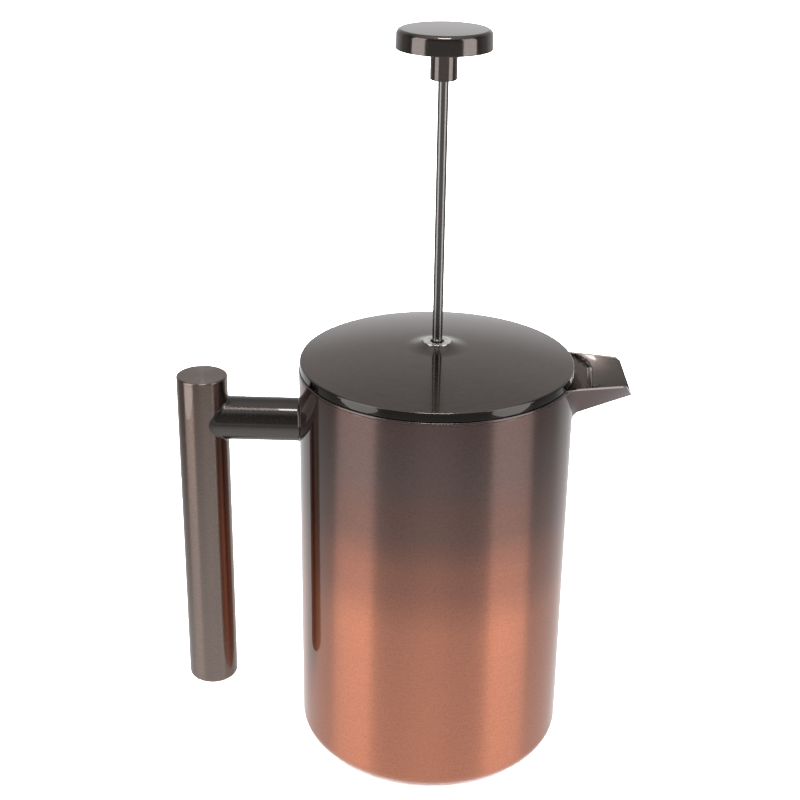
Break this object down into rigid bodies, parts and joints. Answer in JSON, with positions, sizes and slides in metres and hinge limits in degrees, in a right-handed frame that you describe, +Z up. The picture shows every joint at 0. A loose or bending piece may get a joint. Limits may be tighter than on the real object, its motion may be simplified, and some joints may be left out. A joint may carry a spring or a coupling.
{
  "type": "french press",
  "caption": "Double-walled steel coffee press with a tube handle, V spout, domed lid and raised plunger that slides, turns and lifts out with the lid.",
  "frame": {"origin": "centre of the flat base, on the surface the press stands on", "axes": "+Z up along the vessel's axis, +X towards the spout, -X towards the handle"},
  "size_m": [0.1801, 0.108, 0.293],
  "materials": {
    "ombre_lacquer": "fine brushed steel under clear gloss lacquer that fades from dark gunmetal at the top to copper at the foot",
    "copper_lacquer": "copper-tinted gloss lacquer over brushed steel",
    "dark_lacquer": "dark gunmetal gloss lacquer over polished steel",
    "bright_steel": "polished bright steel",
    "plain_steel": "plain stainless steel, satin",
    "woven_mesh": "fine woven stainless wire cloth"
  },
  "bodies": {
    "vessel": {"outer_shell": "ombre_lacquer", "inner_liner": "plain_steel", "base_plate": "copper_lacquer", "spout": "dark_lacquer", "handle_arm": "dark_lacquer", "handle_grip": "dark_lacquer", "handle_top_cap": "dark_lacquer", "handle_bottom_cap": "dark_lacquer"},
    "lid": {"lid_top": "dark_lacquer"},
    "lid_skirt": {"lid_skirt": "plain_steel"},
    "rod_guide": {"rod_guide": "bright_steel", "guide_nut": "plain_steel"},
    "plunger": {"plunger_rod": "bright_steel", "knob_collar": "dark_lacquer", "knob_base": "dark_lacquer", "knob_cap": "dark_lacquer", "stop_nut": "plain_steel", "spiral_plate": "plain_steel", "edge_spring": "bright_steel", "mesh_screen_upper": "woven_mesh", "mesh_screen_lower": "woven_mesh", "cross_plate": "plain_steel", "filter_hub": "plain_steel"}
  },
  "joints": [
    {"name": "lid_lift", "type": "slide", "parent": "vessel", "child": "lid", "axis": [0, 0, 1], "range_m": [0, 0.14]},
    {"name": "lid_turn", "type": "hinge", "parent": "lid", "child": "lid_skirt", "pos_m": [0, 0, 0.1628], "axis": [0, 0, 1], "continuous": true},
    {"name": "plunger_turn", "type": "hinge", "parent": "lid", "child": "rod_guide", "pos_m": [0, 0, 0.173], "axis": [0, 0, 1], "continuous": true},
    {"name": "plunger_slide", "type": "slide", "parent": "rod_guide", "child": "plunger", "axis": [0, 0, 1], "range_m": [-0.1004, 0]}
  ]
}
